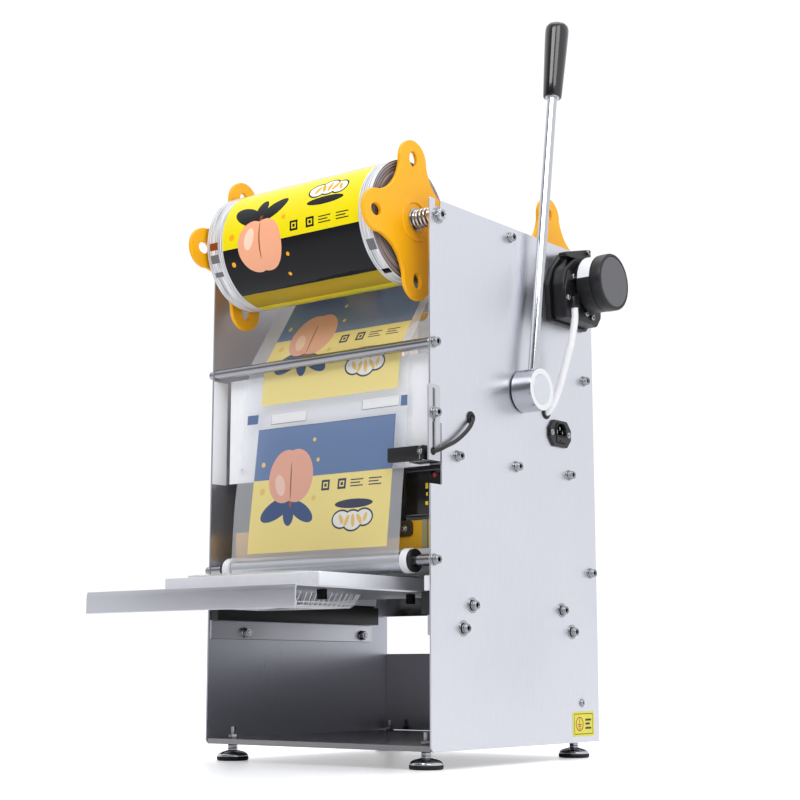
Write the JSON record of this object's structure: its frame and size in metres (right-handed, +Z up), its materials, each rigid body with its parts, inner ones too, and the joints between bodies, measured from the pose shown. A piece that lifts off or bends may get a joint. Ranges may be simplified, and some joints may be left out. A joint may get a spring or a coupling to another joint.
{
  "type": "tray sealing machine",
  "caption": "Manual lever press that heat-seals printed film onto food trays held in a sliding drawer mould, with film spools and motorised take-up.",
  "frame": {"origin": "middle of the outline on the floor, at floor level", "axes": "X to the right seen from the front, Y to the back, Z up"},
  "size_m": [0.4108, 0.5918, 0.8985],
  "materials": {
    "stainless": "brushed stainless sheet",
    "steel": "bright turned steel",
    "chrome": "polished chrome plating",
    "aluminium": "milled aluminium",
    "rubber": "black rubber pad under a steel cap",
    "black_rubber": "matte cable jacket",
    "white_paint": "white powder coat",
    "black_paint": "satin black paint",
    "black_plastic": "moulded black plastic",
    "black_gloss": "glossy black grip",
    "grey_plastic": "moulded grey plastic",
    "red_plastic": "glossy red rocker",
    "yellow_plastic": "moulded orange-yellow plastic",
    "epoxy_board": "amber epoxy insulation board",
    "silicone": "soft silicone sheet",
    "clear_pet": "clear thin PET",
    "film": "printed glossy film",
    "braid": "white braided sleeve"
  },
  "bodies": {
    "frame": {"side_plate_left": "stainless", "side_plate_right": "stainless", "base_pan": "stainless", "rear_panel_lower": "stainless", "rear_panel_upper": "stainless", "foot_front_left": "rubber", "foot_front_right": "rubber", "foot_rear_left": "rubber", "foot_rear_right": "rubber", "front_cover": "white_paint", "upper_guide_rod": "steel", "rear_guide_rod": "steel", "top_tie_rod": "steel", "guide_plate": "steel", "rail_left": "black_plastic", "rail_right": "black_plastic", "rail_bar_left": "stainless", "rail_bar_right": "stainless", "return_spring_left": "steel", "return_spring_right": "steel", "film_web_front": "film", "film_web_rear": "film", "supply_axle": "steel", "axle_spring": "steel", "front_roller_shaft": "steel", "eye_bracket": "stainless", "photo_eye": "black_plastic", "eye_cable": "black_rubber", "film_controller": "black_plastic", "power_inlet": "black_plastic", "temperature_controller": "black_plastic", "power_switch": "black_plastic", "takeup_gearbox": "black_plastic", "takeup_motor": "black_paint", "motor_lead": "braid"},
    "drawer": {"drawer_plate": "stainless", "mould": "aluminium", "mould_gasket": "silicone", "food_tray": "clear_pet"},
    "head": {"heater_plate": "aluminium", "insulation_board": "epoxy_board", "press_column_left": "chrome", "press_column_right": "chrome", "crosshead": "steel"},
    "lever": {"lever_shaft": "steel", "lever_hub": "steel", "lever_rod": "chrome", "lever_grip": "black_gloss"},
    "supply_spool": {"supply_flange_left": "yellow_plastic", "supply_flange_right": "yellow_plastic", "film_roll": "film"},
    "takeup_spool": {"takeup_flange_left": "yellow_plastic", "takeup_flange_right": "yellow_plastic", "waste_film_roll": "film", "takeup_axle": "steel"},
    "front_roller": {"front_roller": "aluminium"},
    "rear_roller": {"rear_roller": "aluminium"},
    "fuse_drawer": {"fuse_drawer": "black_plastic"},
    "temperature_knob": {"temperature_knob": "grey_plastic"},
    "power_rocker": {"power_rocker": "red_plastic"}
  },
  "joints": [
    {"name": "lever_swing", "type": "hinge", "parent": "frame", "child": "lever", "pos_m": [-0.02255, 0.08245, 0.4245], "axis": [1, 0, 0], "range_deg": [0, 80]},
    {"name": "head_slide", "type": "slide", "parent": "frame", "child": "head", "axis": [0, 0, 1], "range_m": [-0.0165, 0], "stiffness_N_per_m": 8000, "springref_m": 0.02, "deforming": ["return_spring_left", "return_spring_right"]},
    {"name": "drawer_slide", "type": "slide", "parent": "frame", "child": "drawer", "axis": [0, 1, 0], "range_m": [0, 0.199]},
    {"name": "takeup_spin", "type": "hinge", "parent": "frame", "child": "takeup_spool", "pos_m": [-0.02255, 0.20415, 0.601], "axis": [1, 0, 0], "continuous": true},
    {"name": "supply_spin", "type": "hinge", "parent": "frame", "child": "supply_spool", "pos_m": [-0.02255, -0.08045, 0.601], "axis": [1, 0, 0], "continuous": true},
    {"name": "front_roller_spin", "type": "hinge", "parent": "frame", "child": "front_roller", "pos_m": [-0.02255, -0.08985, 0.2197], "axis": [1, 0, 0], "continuous": true},
    {"name": "rear_roller_spin", "type": "hinge", "parent": "frame", "child": "rear_roller", "pos_m": [-0.02255, 0.22915, 0.2197], "axis": [1, 0, 0], "continuous": true},
    {"name": "fuse_drawer_slide", "type": "slide", "parent": "frame", "child": "fuse_drawer", "axis": [1, 0, 0], "range_m": [0, 0.014]},
    {"name": "temperature_turn", "type": "hinge", "parent": "frame", "child": "temperature_knob", "pos_m": [-0.19185, 0.15265, 0.3835], "axis": [-1, 0, 0], "range_deg": [0, 270]},
    {"name": "power_rock", "type": "hinge", "parent": "frame", "child": "power_rocker", "pos_m": [-0.18585, 0.19565, 0.3825], "axis": [0, -1, 0], "range_deg": [0, 11]}
  ],
  "couplings": [
    {"joint": "head_slide", "follows": "lever_swing", "m_per_rad": -0.0115},
    {"joint": "supply_spin", "follows": "takeup_spin", "ratio": -0.3909},
    {"joint": "front_roller_spin", "follows": "takeup_spin", "ratio": 2.7059},
    {"joint": "rear_roller_spin", "follows": "takeup_spin", "ratio": 2.7059}
  ]
}
